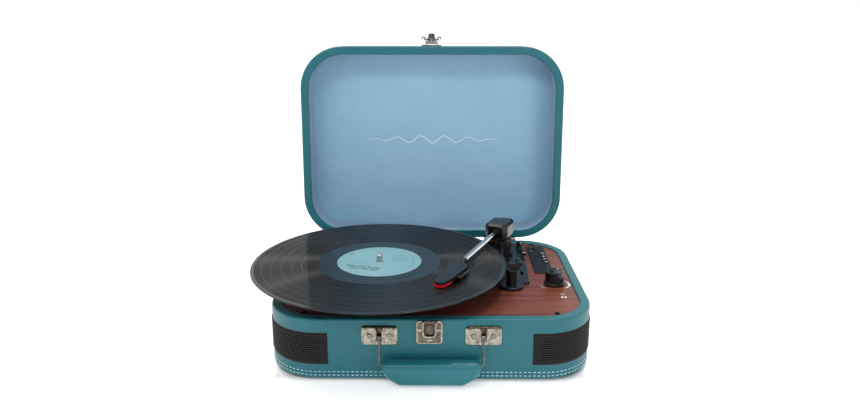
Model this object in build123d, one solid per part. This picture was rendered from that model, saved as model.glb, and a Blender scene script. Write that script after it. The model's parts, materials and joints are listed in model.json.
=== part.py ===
from build123d import *
import os
from math import sin, cos, tan, atan, radians, degrees, pi, hypot

# Suitcase record player. Millimetres, +Z up, +Y towards the hinges, +X right.
# Everything is drawn about the centre of the case, with z = 0 at the
# underside of the case wall, and is shifted once at the end so that the
# origin is the middle of the footprint box, on the surface it stands on.

# ---- driving dimensions -------------------------------------------------
W, L = 356.0, 263.6          # outer plan size of the case
RC = 57.4                    # plan corner radius
H = 69.1                     # height of the base rim over the case underside
TW = 8.0                     # wall thickness
TR = 11.0                    # width of the folded rim
FOOT = 3.0                   # height of the feet
DECK_T = 3.0                 # deck plate thickness
DECK_Z = 67.1                # top face of the deck plate
LID_H = 55.4                 # outer depth of the lid
LID_TOP = 5.0                # thickness of the lid's panel
LID_GAP = 0.6                # gap between the rims when shut
LID_OPEN = 92.8              # opening angle of the lid in the rest pose
HY, HZ = L / 2 + 2.2, H + 0.3   # hinge axis of the lid
HINGE_X = 95.0               # hinges sit at +/- this
SPX, SPY = -61.5, -20.0      # spindle
LP_R, LP_Z = 150.5, 92.7     # 12 inch record: radius and top face
LP_T = 1.8
LABEL_R = 50.0
SP_R = 3.57                  # spindle radius
PLAT_R = 106.0
PVX, PVY = 88.9, 73.0        # tonearm pivot
ARM_A = 24.4                 # arm direction, from -Y towards -X
LIFT_Z = 104.0               # height of the arm's lift axis
TUBE_R = 3.3
REST_A = 2.974               # arm direction at its rest, from -Y towards +X
MOT_X, MOT_Y = -121.5, 40.0  # motor axis
HCX = 1.3                    # middle of the handle
HAX_Y, HAX_Z = -L / 2 - 4.6, 50.5   # handle axis
HAN_DX = 55.0                # handle rods sit at +/- this
LCX = -0.9                   # middle of the latch
KNX, KNY = 146.3, -26.5      # volume knob
FRONT = -L / 2
SHIFT = (16.5, -15.94, FOOT)

parts = {}


# ---- helpers ------------------------------------------------------------
def rr(w, l, r, z0, z1, cx=0, cy=0):
    return Pos(cx, cy, z0) * extrude(RectangleRounded(w, l, r), z1 - z0)


def bx(x0, y0, z0, x1, y1, z1):
    return Pos((x0 + x1) / 2, (y0 + y1) / 2, (z0 + z1) / 2) * Box(abs(x1 - x0), abs(y1 - y0), abs(z1 - z0))


def cz(x, y, r, z0, z1):
    return Pos(x, y, (z0 + z1) / 2) * Cylinder(r, z1 - z0)


def cxx(x0, x1, y, z, r):
    return Pos((x0 + x1) / 2, y, z) * Rot(0, 90, 0) * Cylinder(r, x1 - x0)


def cyy(y0, y1, x, z, r):
    return Pos(x, (y0 + y1) / 2, z) * Rot(90, 0, 0) * Cylinder(r, y1 - y0)


def prism(pts, z0, z1):
    return Pos(0, 0, z0) * extrude(make_face(Polyline(*pts, close=True)), z1 - z0)


def ring(off_out, off_in, z0, z1):
    a = rr(W + 2 * off_out, L + 2 * off_out, RC + off_out, z0, z1)
    b = rr(W + 2 * off_in, L + 2 * off_in, RC + off_in, z0 - 1, z1 + 1)
    return a - b


def try_fillet(s, edges, r):
    try:
        return fillet(edges, r)
    except Exception as e:
        print("fillet skipped", r, e)
        return s


def try_chamfer(s, edges, r):
    try:
        return chamfer(edges, r)
    except Exception as e:
        print("chamfer skipped", r, e)
        return s


def revolve_profile(pts, x, y):
    # pts are (radius, z), closed
    f = make_face(Polyline(*[(p[0], 0, p[1]) for p in pts], close=True))
    return Pos(x, y, 0) * revolve(f, Axis.Z, 360)


def group(*solids):
    out = []
    for s in solids:
        out += list(s.solids())
    return Compound(children=out)


def phillips(x, y, z, r, depth, axis="z"):
    a = Box(r * 1.25, r * 0.32, depth) + Box(r * 0.32, r * 1.25, depth)
    if axis == "z":
        return Pos(x, y, z) * a
    return Pos(x, y, z) * Rot(90, 0, 0) * a


# ---- base shell ---------------------------------------------------------
outer = rr(W, L, RC, 0, H)
outer = try_fillet(outer, outer.edges().group_by(Axis.Z)[-1], 2.2)
outer = try_fillet(outer, outer.edges().group_by(Axis.Z)[0], 2.5)
base = outer - rr(W - 2 * TW, L - 2 * TW, RC - TW, -1, DECK_Z)
base -= rr(W - 2 * TR, L - 2 * TR, RC - TR, DECK_Z - 1, H + 1)
base = try_fillet(base, [e for e in base.edges().group_by(Axis.Z)[-1]
                         if e.bounding_box().size.X < W - 2 * TR + 1 and e.bounding_box().size.Y < L - 2 * TR + 1
                         and abs(e.center().X) < W / 2 - TR + 0.5 and abs(e.center().Y) < L / 2 - TR + 0.5], 1.5)

# corner blocks that carry the deck
DSCREWS = [(136.8, -111.3), (136.8, 113.0), (-136.8, -111.3), (-136.8, 113.0)]
BLK = [(136.0, -104.0), (137.0, 103.0), (-146.0, -102.0), (-146.0, 102.0)]
inside = rr(W - 2 * TW, L - 2 * TW, RC - TW, 4.0, DECK_Z - DECK_T)
for (sx, sy) in DSCREWS:
    zb_ = 56.2 if sy < 0 else 4.0
    b = bx(sx - 7, sy - 6.5, zb_, sx + 7, sy + 6.5, DECK_Z - DECK_T)
    base += b & inside
    ex = bx(sx - 7, sy, zb_, sx + 7, sy + (20 if sy > 0 else -20), DECK_Z - DECK_T) & inside
    base += ex

# recess and sound windows for the two corner grilles
GZ0, GZ1 = 17.0, 53.2
GX, GY = 109.0, 62.4
GREC = 1.5


def corner_zone(sgn, inset, z0, z1):
    x0, x1 = GX + inset, W / 2 + 10
    y0, y1 = -L / 2 - 10, -(GY + inset)
    if sgn < 0:
        return bx(-x1, y0, z0, -x0, y1, z1)
    return bx(x0, y0, z0, x1, y1, z1)


for s in (-1, 1):
    base -= ring(1.0, -GREC, GZ0, GZ1) & corner_zone(s, 0, GZ0, GZ1)
    base -= ring(1.0, -TW - 1, GZ0 + 4, GZ1 - 4) & corner_zone(s, 5, GZ0 + 4, GZ1 - 4)

# cut-outs: rear jacks, side headphone jack
JX0, JX1, JZ0, JZ1 = 60.0, 130.0, 14.0, 38.0
base -= bx(JX0 + 4, L / 2 - TW - 1, JZ0 + 3, JX1 - 4, L / 2 + 1, JZ1 - 3)
HPY, HPZ = -50.0, 46.0
base -= cxx(W / 2 - TW - 1, W / 2 + 1, HPY, HPZ, 3.2)

# ---- grilles ------------------------------------------------------------
NRIB = 13
PITCH = (GZ1 - GZ0 - 3.0) / NRIB
for s, nm in ((-1, "speaker_grille_left"), (1, "speaker_grille_right")):
    g = ring(0.2, -GREC, GZ0, GZ1) & corner_zone(s, 0, GZ0, GZ1)
    for i in range(NRIB):
        z = GZ0 + 1.5 + PITCH * i
        g += ring(0.9, 0.1, z + 0.45, z + PITCH - 0.45) & corner_zone(s, 1.5, z, z + PITCH)
    for i in range(1, NRIB - 1):
        z = GZ0 + 1.5 + PITCH * i
        if z > GZ0 + 5 and z < GZ1 - 6:
            g -= ring(1.5, -GREC - 1, z - 0.4, z + 0.4) & corner_zone(s, 9, z - 0.4, z + 0.4)
    parts[nm] = g

# ---- speakers -----------------------------------------------------------
SPK_D = 36.0          # front of the driver from the corner's centre
SPK_Z = 31.0
baffles, = [[]]
for s, nm in ((-1, "speaker_left"), (1, "speaker_right")):
    ccx, ccy = s * (W / 2 - RC), -(L / 2 - RC)
    ang = -45 if s > 0 else -135
    place = Pos(ccx, ccy, SPK_Z) * Rot(0, 0, ang)      # local +X points at the corner
    spk = place * (Pos(SPK_D - 1.5, 0, 0) * Box(3, 46, 46) - Pos(SPK_D - 1.5, 0, 0) * Rot(0, 90, 0) * Cylinder(19.5, 4))
    ringpart = Pos(SPK_D - 5, 0, 0) * Rot(0, 90, 0) * (Cylinder(21.5, 8) - Cylinder(19.5, 9))
    cone = Pos(SPK_D - 5, 0, 0) * Rot(0, 90, 0) * (Cone(9, 20.0, 9) - Pos(0, 0, 1.0) * Cone(8.5, 19.5, 8.2))
    basket = Pos(SPK_D - 14.0, 0, 0) * Rot(0, 90, 0) * Cylinder(11, 10)
    magnet = Pos(SPK_D - 22.0, 0, 0) * Rot(0, 90, 0) * Cylinder(17, 8)
    cap = Pos(SPK_D - 7.5, 0, 0) * Rot(0, 90, 0) * Cylinder(8.8, 3.5)
    sp = spk + place * ringpart + place * cone + place * basket + place * magnet + place * cap
    parts[nm] = sp
    # baffle: seals the driver against the inside of the corner
    bf = (rr(W - 2 * TW, L - 2 * TW, RC - TW, 6.0, 55.8) & (place * (Pos(SPK_D + 25, 0, 0) * Box(50, 56, 60))))
    bf -= place * (Pos(SPK_D + 20, 0, 0) * Rot(0, 90, 0) * Cylinder(19.5, 60))
    bf -= rr(W - 2 * TW - 5.0, L - 2 * TW - 5.0, RC - TW - 2.5, 8.5, 53.3) & (place * (Pos(SPK_D + 25 + 2.5, 0, 0) * Box(50, 90, 80)))
    bf -= ring(1.0, -TW - 4, GZ0 + 4, GZ1 - 4) & corner_zone(s, 5, GZ0 + 4, GZ1 - 4)
    baffles.append(bf)
parts["speaker_baffles"] = group(*baffles)

# ---- bottom panel and feet ---------------------------------------------
bottom = rr(W - 2 * TW, L - 2 * TW, RC - TW, 0, 4.0)
for i in range(7):
    bottom -= rr(34, 2.4, 1.1, -1, 5, 60, -40 + 8 * i)
parts["bottom_panel"] = bottom
feet = []
for fx in (-140, 140):
    for fy in (-95, 95):
        f = cz(fx, fy, 9.0, -FOOT, 0)
        f = try_fillet(f, f.edges().group_by(Axis.Z)[0], 1.4)
        feet.append(f)
parts["rubber_feet"] = group(*feet)

# ---- deck ---------------------------------------------------------------
deck = rr(W - 2 * TW, L - 2 * TW, RC - TW, DECK_Z - DECK_T, DECK_Z)
CPX0, CPX1, CPY0, CPY1 = 128.0, 151.5, 7.0, 106.0     # control panel outline
deck -= rr(CPX1 - CPX0 - 3, CPY1 - CPY0 - 3, 1.5, DECK_Z - 5, DECK_Z + 1, (CPX0 + CPX1) / 2, (CPY0 + CPY1) / 2)
deck -= cz(SPX, SPY, 9.0, DECK_Z - 5, DECK_Z + 1)
deck -= cz(MOT_X, MOT_Y, 11.0, DECK_Z - 5, DECK_Z + 1)
deck -= cz(KNX, KNY, 4.2, DECK_Z - 5, DECK_Z + 1)
deck -= cz(PVX, PVY, 9.0, DECK_Z - 5, DECK_Z + 1)
screws = []
for (sx, sy) in DSCREWS:
    h = Pos(sx, sy, DECK_Z) * Sphere(4.6)
    h = (Pos(0, 0, -2.9) * h) & cz(sx, sy, 3.4, DECK_Z, DECK_Z + 3)
    h -= phillips(sx, sy, DECK_Z + 1.6, 2.6, 1.6)
    shank = cz(sx, sy, 1.5, DECK_Z - 10, DECK_Z)
    screws.append(h + shank)
    deck -= cz(sx, sy, 1.5, DECK_Z - 5, DECK_Z + 1)
    base -= cz(sx, sy, 1.53, DECK_Z - 10.6, DECK_Z)
parts["deck_plate"] = deck
parts["deck_screws"] = group(*screws)

# ---- platter drive ------------------------------------------------------
bush = cz(SPX, SPY, 9.0, 52.0, DECK_Z) + cz(SPX, SPY, 13.0, 60.1, DECK_Z - DECK_T) + cz(SPX, SPY, 6.5, DECK_Z, 70.0)
bush -= cz(SPX, SPY, SP_R + 0.05, 54.0, 71.0)
parts["bearing_bush"] = bush
spindle = cz(SPX, SPY, SP_R, 54.5, 99.5) + Pos(SPX, SPY, 99.5) * Sphere(SP_R)
spindle = spindle & cz(SPX, SPY, 10, 50, 102.3)
spindle -= cz(SPX, SPY, 6.0, 92.95, 93.3) - cz(SPX, SPY, 3.3, 92.0, 94.0)     # relief above the label
parts["spindle"] = spindle

plat = revolve_profile([(SP_R, 71.0), (12, 71.0), (12, 84.5), (56, 84.5), (56, 75.5), (60, 75.5), (60, 84.5),
                        (100, 84.5), (102.5, 76.0), (105.4, 76.0), (PLAT_R, 76.6), (PLAT_R, 87.6), (105.0, 88.9),
                        (SP_R, 88.9)], SPX, SPY)
parts["platter"] = plat
mat = revolve_profile([(SP_R, 88.9), (103, 88.9), (103.6, 89.4), (103.6, 90.4), (103.0, 90.9), (SP_R, 90.9)], SPX, SPY)
parts["slipmat"] = mat
zt, zb = LP_Z, LP_Z - LP_T
lp = revolve_profile([(SP_R + 0.05, zb), (LP_R - 0.7, zb), (LP_R - 0.15, zb + 0.35), (LP_R, zb + 0.9), (LP_R - 0.15, zt - 0.35),
                      (LP_R - 0.7, zt), (147.0, zt), (146.0, zt - 0.25), (60.5, zt - 0.25), (58.5, zt - 0.12),
                      (52.0, zt - 0.12), (51.2, zt), (SP_R + 0.05, zt)], SPX, SPY)
parts["lp_record"] = lp
parts["record_label"] = cz(SPX, SPY, LABEL_R, zt, zt + 0.15) - cz(SPX, SPY, SP_R + 0.05, zt - 1, zt + 1)

can = cz(MOT_X, MOT_Y, 18.0, 33.0, 59.0)
can = try_fillet(can, can.edges().group_by(Axis.Z)[0], 2.0)
can += cz(MOT_X, MOT_Y, 5.0, 59.0, 60.5) + cz(MOT_X, MOT_Y, 1.0, 59.0, 81.5)
parts["motor"] = can
mm = rr(50, 42, 6, 59.0, 60.6, MOT_X, MOT_Y) - cz(MOT_X, MOT_Y, 5.0, 58, 61)
for dx in (-19, 19):
    for dy in (-15, 15):
        mm += cz(MOT_X + dx, MOT_Y + dy, 4.0, 60.6, DECK_Z - DECK_T)
parts["motor_mount"] = mm
pul = revolve_profile([(1.05, 68.0), (6.4, 68.0), (6.4, 76.4), (5.0, 77.0), (5.0, 80.9), (6.4, 81.5), (6.4, 82.6), (1.05, 82.6)], MOT_X, MOT_Y)
pul = pul + cz(MOT_X, MOT_Y, 1.3, 81.9, 82.6)
parts["motor_pulley"] = pul

# flat drive belt, open loop round the pulley and the platter's inner rim
BG = 0.35
r1, r2 = 60.0 + BG, 5.0 + BG
bt = 0.8


def belt_face(g):
    R1, R2 = r1 + g, r2 + g
    dx, dy = MOT_X - SPX, MOT_Y - SPY
    d = hypot(dx, dy)
    ux, uy = dx / d, dy / d
    beta = (R1 - R2) / d
    c = beta
    sn = (1 - c * c) ** 0.5
    nx1, ny1 = ux * c - uy * sn, uy * c + ux * sn
    nx2, ny2 = ux * c + uy * sn, uy * c - ux * sn
    a1 = (SPX + R1 * nx1, SPY + R1 * ny1)
    a2 = (MOT_X + R2 * nx1, MOT_Y + R2 * ny1)
    b1 = (SPX + R1 * nx2, SPY + R1 * ny2)
    b2 = (MOT_X + R2 * nx2, MOT_Y + R2 * ny2)
    m1 = (SPX - R1 * ux, SPY - R1 * uy)
    m2 = (MOT_X + R2 * ux, MOT_Y + R2 * uy)
    e = Line(a1, a2) + ThreePointArc(a2, m2, b2) + Line(b2, b1) + ThreePointArc(b1, m1, a1)
    return make_face(e)


belt = Pos(0, 0, 77.3) * (extrude(belt_face(bt), 3.3) - extrude(belt_face(0), 3.3))
parts["drive_belt"] = belt

# ---- tonearm base -------------------------------------------------------
BT = 71.0                                 # top face of the tonearm base
FLX, FLY = 94.6, -36.7                    # rest post centre
pl = prism([(75.5, 106.0), (124.0, 106.0), (117.0, -28.6), (104.0, -31.2), (81.0, -33.5), (76.0, 20.0)], DECK_Z, BT)
pl = try_fillet(pl, pl.edges().filter_by(Axis.Z), 3.0)
pl = pl + cz(FLX, FLY, 14.5, DECK_Z, BT)
pl = try_fillet(pl, pl.faces().sort_by(Axis.Z)[-1].edges(), 0.9)
tower = cz(PVX, PVY, 16.0, BT, 92.0) + cz(PVX, PVY, 18.5, BT, 75.0)
tower = try_chamfer(tower, tower.edges().group_by(Axis.Z)[-1], 1.5)
pl = pl + tower
pl -= cz(PVX, PVY, 4.05, 60, 120)         # bore for the arm's vertical journal
# slots of the two slide switches
SSX, SSY = 110.8, 1.0
ASX, ASY = 112.4, 34.0
for (x, y) in ((SSX, SSY), (ASX, ASY)):
    pl -= bx(x - 1.6, y - 8.4, DECK_Z - 1, x + 1.6, y + 8.4, BT + 1)
    pl -= bx(x - 3.6, y - 11.2, DECK_Z - 1, x + 3.6, y + 11.2, DECK_Z + 1.6)
# cue lift well and lever bracket
CLA, CLR = 17.0, 24.5                     # lifter post: angle from -Y to -X, radius from the pivot
clx, cly = PVX - CLR * sin(radians(CLA)), PVY - CLR * cos(radians(CLA))
pl += cz(clx, cly, 4.6, BT, 84.0)
pl -= cz(clx, cly, 2.06, DECK_Z, 85.0)
LVX, LVY, LVZ = 119.6, 92.0, 77.2
pl += bx(LVX - 5.6, LVY - 4, BT - 0.5, LVX - 2.6, LVY + 4, LVZ + 3)
pl += cxx(LVX - 5.6, LVX + 1.5, LVY, LVZ, 1.6)
parts["tonearm_base"] = pl

# rest post, with a round pillar and a forked cradle beside it
ra = radians(REST_A)
rdx, rdy = sin(ra), -cos(ra)              # arm direction at its rest
CRS = 109.85
crx, cry = PVX + CRS * rdx, PVY + CRS * rdy
frame_r = Pos(crx, cry, 0) * Rot(0, 0, degrees(ra))
post = cz(FLX, FLY, 6.2, BT, 90.0)
post = try_chamfer(post, post.edges().group_by(Axis.Z)[-1], 1.0)
tz_at = lambda s: LIFT_Z - 0.4 - (s - 18.0) / 112.0 * 3.0
crz = tz_at(CRS) - TUBE_R - 0.5
cr = frame_r * (bx(-3.4, -2.6, 89.0, 8.8, 2.6, crz) + bx(4.4, -2.6, crz - 2, 8.8, 2.6, crz + 5.2))
cr -= frame_r * cyy(-8, 8, 6.6, crz + 3.0, 1.06)
parts["arm_rest"] = post + cr
clip_axis_z = crz + 3.0

# ---- tonearm ------------------------------------------------------------
a = radians(ARM_A)
arm = Pos(PVX, PVY, 0) * Rot(0, 0, -90 - ARM_A)     # local +X runs along the arm, +Y is its left... (s, t)


def A(s):
    return arm * s


def apoly(pts, z0, z1):
    # pts are (along, right side) pairs in the arm's own frame
    return A(prism([(p[0], -p[1]) for p in pts], z0, z1))


yoke = cz(PVX, PVY, 4.0, 66.0, 93.0) + cz(PVX, PVY, 12.0, 92.4, 95.4)
yoke += A(bx(-7, 8.6, 94.0, 7, 11.4, 108.5)) + A(bx(-7, -11.4, 94.0, 7, -8.6, 108.5))
yoke -= A(Pos(0, 0, LIFT_Z) * Rot(90, 0, 0) * Cylinder(1.06, 40))
parts["tonearm_yoke"] = yoke

# faceted head that carries the tube and the counterweight, on a cross pin
hd = bx(-17, -15.2, 97.6, 17, 15.2, 114.6)
hd = try_chamfer(hd, hd.edges().filter_by(Axis.Z), 5.5)
hd = try_chamfer(hd, hd.faces().sort_by(Axis.Z)[-1].edges(), 3.2)
hd -= bx(-11.0, 8.0, 90, 11.0, 12.0, 111.5) + bx(-11.0, -12.0, 90, 11.0, -8.0, 111.5)
hd -= bx(-13.5, -12.0, 90, 13.5, 12.0, 98.6)
hd += Pos(0, 0, LIFT_Z) * Rot(90, 0, 0) * Cylinder(1.0, 28.0)
wt = bx(-30, -9.5, 98.8, -17, 9.5, 111.0)
wt = try_fillet(wt, wt.edges().filter_by(Axis.X), 4.0)
wt = try_fillet(wt, wt.faces().sort_by(Axis.X)[0].edges(), 1.5)
parts["tonearm_head"] = A(hd)
parts["counterweight"] = A(wt)

TS0, TS1 = 14.0, 131.0
slope = degrees(atan(3.0 / 112.0))
tl = TS1 - TS0
tube = Pos((TS0 + TS1) / 2, 0, tz_at((TS0 + TS1) / 2)) * Rot(0, slope, 0) * Rot(0, 90, 0) * Cylinder(TUBE_R, tl)
hd_cut = A(tube)
parts["tonearm_head"] = parts["tonearm_head"] - hd_cut
parts["tonearm_tube"] = hd_cut

hs = prism([(122.5, -4.4), (133, -4.6), (139, -9.4), (143, -12.2), (146.5, -10.6), (152, -7.2), (186, -7.4), (191.5, -6.8),
            (194.5, -2.5), (195.5, 2.8), (192, 5.4), (178, 9.6), (148, 12.6), (141, 12.6), (136, 6.4), (132.5, 4.4), (122.5, 4.4)], 96.9, 104.4)
hs = try_fillet(hs, hs.edges().filter_by(Axis.Z), 0.7)
# the shell slopes down towards its nose
hs = hs - extrude(Plane.XZ * make_face(Polyline((120, 104.3), (134, 104.3), (140, 102.4), (200, 99.2), (200, 112), (120, 112), close=True)), 30, both=True)
hs = try_chamfer(hs, [e for e in hs.edges() if e.center().Z > 99.0 and e.center().X > 136 and abs(e.bounding_box().size.Z) < 3.0 and e.bounding_box().size.X > 3], 0.5)
under = extrude(Plane.XZ * make_face(Polyline((141, 90), (141, 99.4), (150, 98.9), (194, 97.4), (194, 90), close=True)), 30, both=True)
hs = hs - (under & prism([(146, -6.0), (152, -5.2), (186, -5.7), (190, -5.0), (192.5, -1.5), (193.3, 2.2), (190.5, 3.8), (177.5, 7.8), (149, 10.8), (144, 10.6)], 80, 110))
hs = A(hs) - hd_cut
parts["headshell"] = hs
ct = prism([(156, -4.2), (184, -5.4), (187.5, -5.0), (189.4, 0.4), (187.5, 2.6), (178, 5.4), (156, 6.2)], 94.6, 97.3)
parts["cartridge"] = A(ct)
st_out = [(170, 7.6), (170, -6.4), (184, -7.6), (190.5, -8.0), (193.6, -5.0), (195.0, 0.8), (193.2, 4.4), (181, 8.0)]
st = prism(st_out, 93.4, 96.8) - prism([(160, 6.1), (160, -4.9), (184, -6.2), (189.8, -6.5), (192.1, -4.2), (193.4, 0.6), (192.0, 3.2), (180.6, 6.5)], 94.5, 98)
st = st + Pos(188.3, -1.2, 93.4) * Cylinder(0.3, 0.7)
parts["stylus"] = A(st)
# finger lift: a rod bent out from the shell's right side, with a curled tip
fl_pts = [(145.0, 11.4, 100.0), (147.0, 16.2, 99.9), (158.0, 15.6, 99.4), (168.4, 13.8, 97.2), (170.6, 13.4, 99.6)]
fl_path = FilletPolyline(*fl_pts, radius=[2.2, 6.0, 1.2])
fl = sweep(Plane(origin=fl_pts[0], z_dir=(fl_path % 0)) * Circle(0.9), path=fl_path)
fl += Pos(*fl_pts[-1]) * Sphere(1.2)
fl = A(fl) - hs
parts["finger_lift"] = fl

# cue lifter: a curved bar under the tube on a sliding post
LFT = tz_at(CLR) - TUBE_R - 0.45
arc_b = cz(PVX, PVY, CLR + 1.8, LFT - 2.0, LFT) - cz(PVX, PVY, CLR - 1.8, LFT - 3.0, LFT + 1)
wedge_pts = [(PVX, PVY)]
for k in range(0, 9):
    an = radians(-14.0 + k * (47.0 + 14.0) / 8)
    wedge_pts.append((PVX - 40 * sin(an), PVY - 40 * cos(an)))
arc_b = arc_b & prism(wedge_pts, LFT - 4, LFT + 2)
lf = arc_b + cz(clx, cly, 2.0, 72.0, LFT - 1.0)
parts["cue_lifter"] = lf

lv = cxx(LVX - 1.9, LVX + 1.3, LVY, LVZ, 3.4)
lv += bx(LVX - 1.6, LVY - 40, LVZ - 1.4, LVX + 1.2, LVY, LVZ + 1.4)
lv += Pos(LVX - 0.2, LVY - 41, LVZ) * Rot(0, 90, 0) * Cylinder(2.6, 4.4)
lv -= cxx(LVX - 3, LVX + 3, LVY, LVZ, 1.66)
parts["cue_lever"] = lv

# clip of the arm rest: a wire loop that folds over the tube
cw = frame_r * (cyy(-4.6, 4.6, 6.6, clip_axis_z, 1.0))
c1 = frame_r * (Pos(6.6, 3.9, clip_axis_z) * Rot(0, 115, 0) * (Pos(0, 0, 4.6) * Cylinder(0.8, 9.2)))
c2 = frame_r * (Pos(6.6, -3.9, clip_axis_z) * Rot(0, 115, 0) * (Pos(0, 0, 4.6) * Cylinder(0.8, 9.2)))
c3 = frame_r * (Pos(6.6, 0, clip_axis_z) * Rot(0, 115, 0) * (Pos(0, 0, 9.2) * Rot(90, 0, 0) * Cylinder(0.9, 9.4)))
parts["arm_clip"] = cw + c1 + c2 + c3

# slide switches in the tonearm base
for nm, (x, y) in (("speed_switch", (SSX, SSY)), ("auto_stop_switch", (ASX, ASY))):
    off = 0.0 if nm == "speed_switch" else -3.0
    sw = bx(x - 3.3, y + off - 5.4, DECK_Z + 0.3, x + 3.3, y + off + 5.4, DECK_Z + 1.3)
    sw += bx(x - 1.25, y + off - 2.6, DECK_Z + 1.0, x + 1.25, y + off + 2.6, BT + 2.4)
    parts[nm] = sw

# ---- control panel, buttons, volume -------------------------------------
pcx, pcy = (CPX0 + CPX1) / 2, (CPY0 + CPY1) / 2
cp = rr(CPX1 - CPX0, CPY1 - CPY0, 2.2, DECK_Z, DECK_Z + 1.4, pcx, pcy)
cp = try_fillet(cp, cp.edges().group_by(Axis.Z)[-1], 0.5)
cp += rr(CPX1 - CPX0 - 3, CPY1 - CPY0 - 3, 1.5, DECK_Z - 6.0, DECK_Z, pcx, pcy)
BTX = 147.0
BTY = [75.6, 65.2, 54.8, 44.4]
for by in BTY:
    cp -= rr(5.8, 8.4, 1.2, DECK_Z - 7, DECK_Z + 2, BTX, by)
cp -= bx(141.9, 12.0, DECK_Z + 0.6, 142.5, 86.0, DECK_Z + 2)          # groove beside the buttons
AJX, AJY = 136.2, 91.6
cp -= cz(AJX, AJY, 3.3, DECK_Z - 7, DECK_Z + 2)
parts["control_panel"] = cp
aj = cz(AJX, AJY, 3.25, DECK_Z - 12.6, DECK_Z + 0.9)
aj += bx(AJX - 5, AJY - 4.5, DECK_Z - 19, AJX + 5, AJY + 4.5, DECK_Z - 6.2)
aj -= cz(AJX, AJY, 1.8, DECK_Z - 15, DECK_Z + 2)
parts["aux_jack"] = aj
for i, by in enumerate(BTY):
    b = rr(5.2, 7.8, 1.0, DECK_Z - 4.6, DECK_Z + 2.0, BTX, by)
    b = try_fillet(b, b.edges().group_by(Axis.Z)[-1], 0.45)
    b += rr(7.4, 9.6, 0.8, DECK_Z - 7.6, DECK_Z - 6.4, BTX, by) + cz(BTX, by, 1.6, DECK_Z - 7, DECK_Z - 4)
    parts["panel_button_%d" % (i + 1)] = b

kn = revolve_profile([(0, DECK_Z + 0.6), (12.2, DECK_Z + 0.6), (12.2, DECK_Z + 2.8), (11.6, DECK_Z + 3.6), (11.0, DECK_Z + 3.8), (10.6, DECK_Z + 16.0),
                      (9.8, DECK_Z + 16.9), (8.3, DECK_Z + 16.9), (7.7, DECK_Z + 16.4), (0, DECK_Z + 16.4)], KNX, KNY)
NK = 28
for k in range(NK):
    an = 2 * pi * k / NK
    kn -= Pos(KNX + 11.2 * cos(an), KNY + 11.2 * sin(an), DECK_Z + 10.6) * Cylinder(0.5, 13)
kn += Pos(KNX, KNY, DECK_Z + 16.8) * Rot(0, 0, 30) * Pos(-5.0, 0, 0) * Box(4.4, 1.1, 0.9)
kn += cz(KNX, KNY, 3.0, 57.0, DECK_Z + 1)
parts["volume_knob"] = kn
vp = cz(KNX, KNY, 9.0, 50.0, 58.0) + cz(KNX, KNY, 4.2, 58.0, DECK_Z) - cz(KNX, KNY, 3.06, 56.5, 80)
vp += bx(KNX - 5, KNY - 15, 50.0, KNX + 5, KNY - 6, 54.0)
parts["volume_pot"] = vp

# ---- electronics --------------------------------------------------------
pcb = rr(60, 150, 2, 34.0, 35.6, 128, 24)
for (x, y) in ((103, -44), (153, -44), (103, 92), (153, 92)):
    pcb += cz(x, y, 3.0, 4.0, 34.0)
for (x, y, r, h) in ((115, -20, 5, 14), (128, -20, 5, 14), (115, 5, 4, 11), (120, 60, 4, 11), (135, 62, 3, 8)):
    pcb += cz(x, y, r, 35.6, 35.6 + h)
pcb += bx(108, 25, 35.6, 122, 45, 38.6) + bx(128, 15, 35.6, 148, 40, 41.6)
for i in range(6):
    pcb += bx(129 + 3.2 * i, 16, 41.5, 130.2 + 3.2 * i, 39, 49.0)
parts["main_pcb"] = pcb

yb = L / 2
rj = rr(JX1 - JX0, JZ1 - JZ0, 3, 0, 1.6)
rj = Pos((JX0 + JX1) / 2, yb + 1.6, (JZ0 + JZ1) / 2) * Rot(90, 0, 0) * rj
rj += bx(JX0 + 4.2, yb - 3, JZ0 + 3.2, JX1 - 4.2, yb, JZ1 - 3.2)
DCX, RC1, RC2, JZ = 72.0, 96.0, 114.0, 26.0
rj -= cyy(yb - 4, yb + 3, DCX, JZ, 4.6)
for x in (RC1, RC2):
    rj -= cyy(yb - 4, yb + 3, x, JZ, 5.0)
parts["rear_jack_plate"] = rj
dc = cyy(yb - 13, yb + 1.6, DCX, JZ, 4.55) + bx(DCX - 6, yb - 19, JZ - 6, DCX + 6, yb - 8.5, JZ + 6)
dc -= cyy(yb - 11, yb + 2, DCX, JZ, 2.9)
dc += cyy(yb - 12, yb - 1.0, DCX, JZ, 1.0)
parts["dc_jack"] = dc
rcas = []
for x in (RC1, RC2):
    q = cyy(yb - 3, yb + 9.6, x, JZ, 4.15) + cyy(yb - 3, yb + 1.6, x, JZ, 4.95) + bx(x - 6, yb - 16, JZ - 6, x + 6, yb - 3, JZ + 6)
    q -= cyy(yb - 2, yb + 10, x, JZ, 1.7)
    rcas.append(q)
parts["rca_jacks"] = group(*rcas)
hp = cxx(W / 2 - 8, W / 2 + 0.6, HPY, HPZ, 3.15) + cxx(W / 2, W / 2 + 1.0, HPY, HPZ, 5.0)
hp += bx(W / 2 - 22, HPY - 5, HPZ - 5.5, W / 2 - 8.4, HPY + 5, HPZ + 5.5)
hp += cxx(W / 2 - 9, W / 2 - 7.9, HPY, HPZ, 3.15)
hp -= cxx(W / 2 - 16, W / 2 + 2, HPY, HPZ, 1.8)
parts["headphone_jack"] = hp

# ---- front latch on the base -------------------------------------------
F = FRONT


def plate_xz(w, h, r, t, cx, zc, y_face):
    # plate standing on the plane y = y_face, growing towards -Y
    p = extrude(RectangleRounded(w, h, r), t)
    return Pos(cx, y_face, zc) * Rot(90, 0, 0) * p


LZ0, LZ1 = 42.1, 68.0
lzc = (LZ0 + LZ1) / 2
lt = plate_xz(27.6, LZ1 - LZ0, 3.6, 2.0, LCX, lzc, F)
lt -= plate_xz(24.6, LZ1 - LZ0 - 3.0, 2.4, 3.0, LCX, lzc, F - 1.1)
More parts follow.
